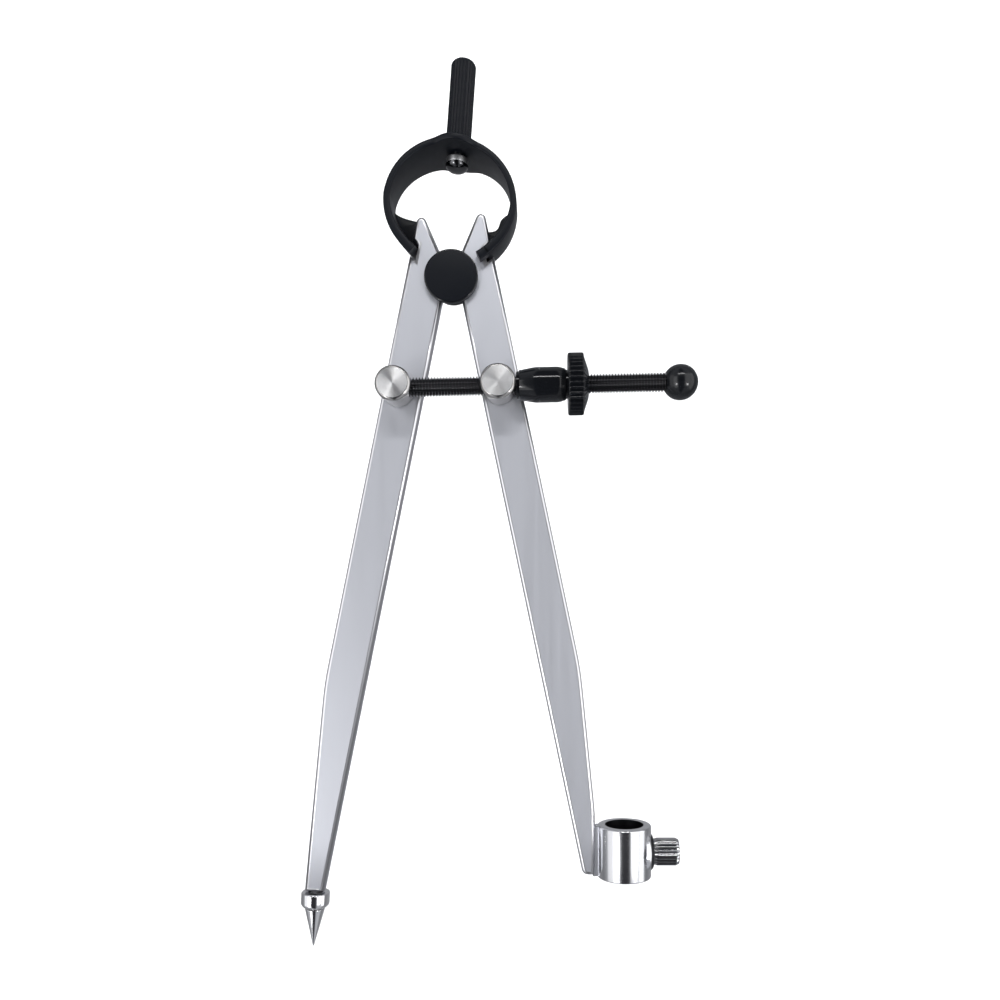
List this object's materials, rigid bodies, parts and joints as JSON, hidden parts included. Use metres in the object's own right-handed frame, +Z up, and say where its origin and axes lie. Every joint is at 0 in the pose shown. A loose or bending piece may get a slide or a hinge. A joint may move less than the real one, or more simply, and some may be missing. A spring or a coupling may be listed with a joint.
{
  "type": "spring divider",
  "caption": "Spring divider: two flat legs on a flanged fulcrum, open bow spring and ribbed handle on top, cross rod with adjusting nut, needle point on one leg, pencil holder on the other.",
  "frame": {"origin": "centre of the fulcrum's flat front face, on the axis that the legs turn about", "axes": "+X to the tool's right, towards the nut and the ball; -Y out of the fulcrum's front face, towards the viewer; +Z up towards the handle"},
  "size_m": [0.0871, 0.021, 0.1978],
  "materials": {
    "satin_steel": "satin",
    "bright_steel": "polished",
    "turned_steel": "turned",
    "black_finish": "satin black",
    "glossy_black": "gloss black"
  },
  "bodies": {
    "frame": {"fulcrum_spool": "black_finish", "fulcrum_back_flange": "black_finish", "bow_spring": "black_finish", "handle": "black_finish", "handle_collar": "bright_steel", "handle_screw": "bright_steel"},
    "left_arm": {"left_leg": "satin_steel", "point_ferrule": "bright_steel", "point": "bright_steel"},
    "right_arm": {"right_leg": "satin_steel", "pencil_holder": "bright_steel"},
    "rod_assembly": {"left_stud": "turned_steel", "left_stud_ring": "turned_steel", "adjusting_rod": "black_finish", "ball_end": "glossy_black"},
    "nut_seat": {"right_stud": "turned_steel", "right_stud_ring": "turned_steel"},
    "nut": {"nut_nose": "glossy_black", "nut_barrel": "glossy_black", "nut_wheel": "glossy_black"},
    "clamp": {"clamp_screw": "bright_steel"}
  },
  "joints": [
    {"name": "left_leg_fold", "type": "hinge", "parent": "frame", "child": "left_arm", "pos_m": [0, 0.0031, 0], "axis": [0, 1, 0], "range_deg": [-10.5, 20], "deforming": ["bow_spring"]},
    {"name": "right_leg_fold", "type": "hinge", "parent": "frame", "child": "right_arm", "pos_m": [0, 0.0031, 0], "axis": [0, 1, 0], "range_deg": [-20, 10.5], "deforming": ["bow_spring"]},
    {"name": "left_stud_turn", "type": "hinge", "parent": "left_arm", "child": "rod_assembly", "pos_m": [-0.01167, 0.0031, -0.025], "axis": [0, 1, 0], "range_deg": [-18.8, 9.9]},
    {"name": "right_stud_turn", "type": "hinge", "parent": "right_arm", "child": "nut_seat", "pos_m": [0.01059, 0.0031, -0.02456], "axis": [0, 1, 0], "range_deg": [-11.4, 21.5]},
    {"name": "nut_spin", "type": "hinge", "parent": "nut_seat", "child": "nut", "pos_m": [0.01059, -0.0019, -0.02456], "axis": [0.9998, 0, 0.0195], "continuous": true},
    {"name": "clamp_slide", "type": "slide", "parent": "right_arm", "child": "clamp", "axis": [1, 0, 0], "range_m": [0, 0.002]}
  ],
  "couplings": [
    {"joint": "right_leg_fold", "follows": "left_leg_fold", "ratio": -1},
    {"joint": "left_stud_turn", "follows": "left_leg_fold", "ratio": -0.935},
    {"joint": "right_stud_turn", "follows": "left_leg_fold", "ratio": 1.065}
  ]
}
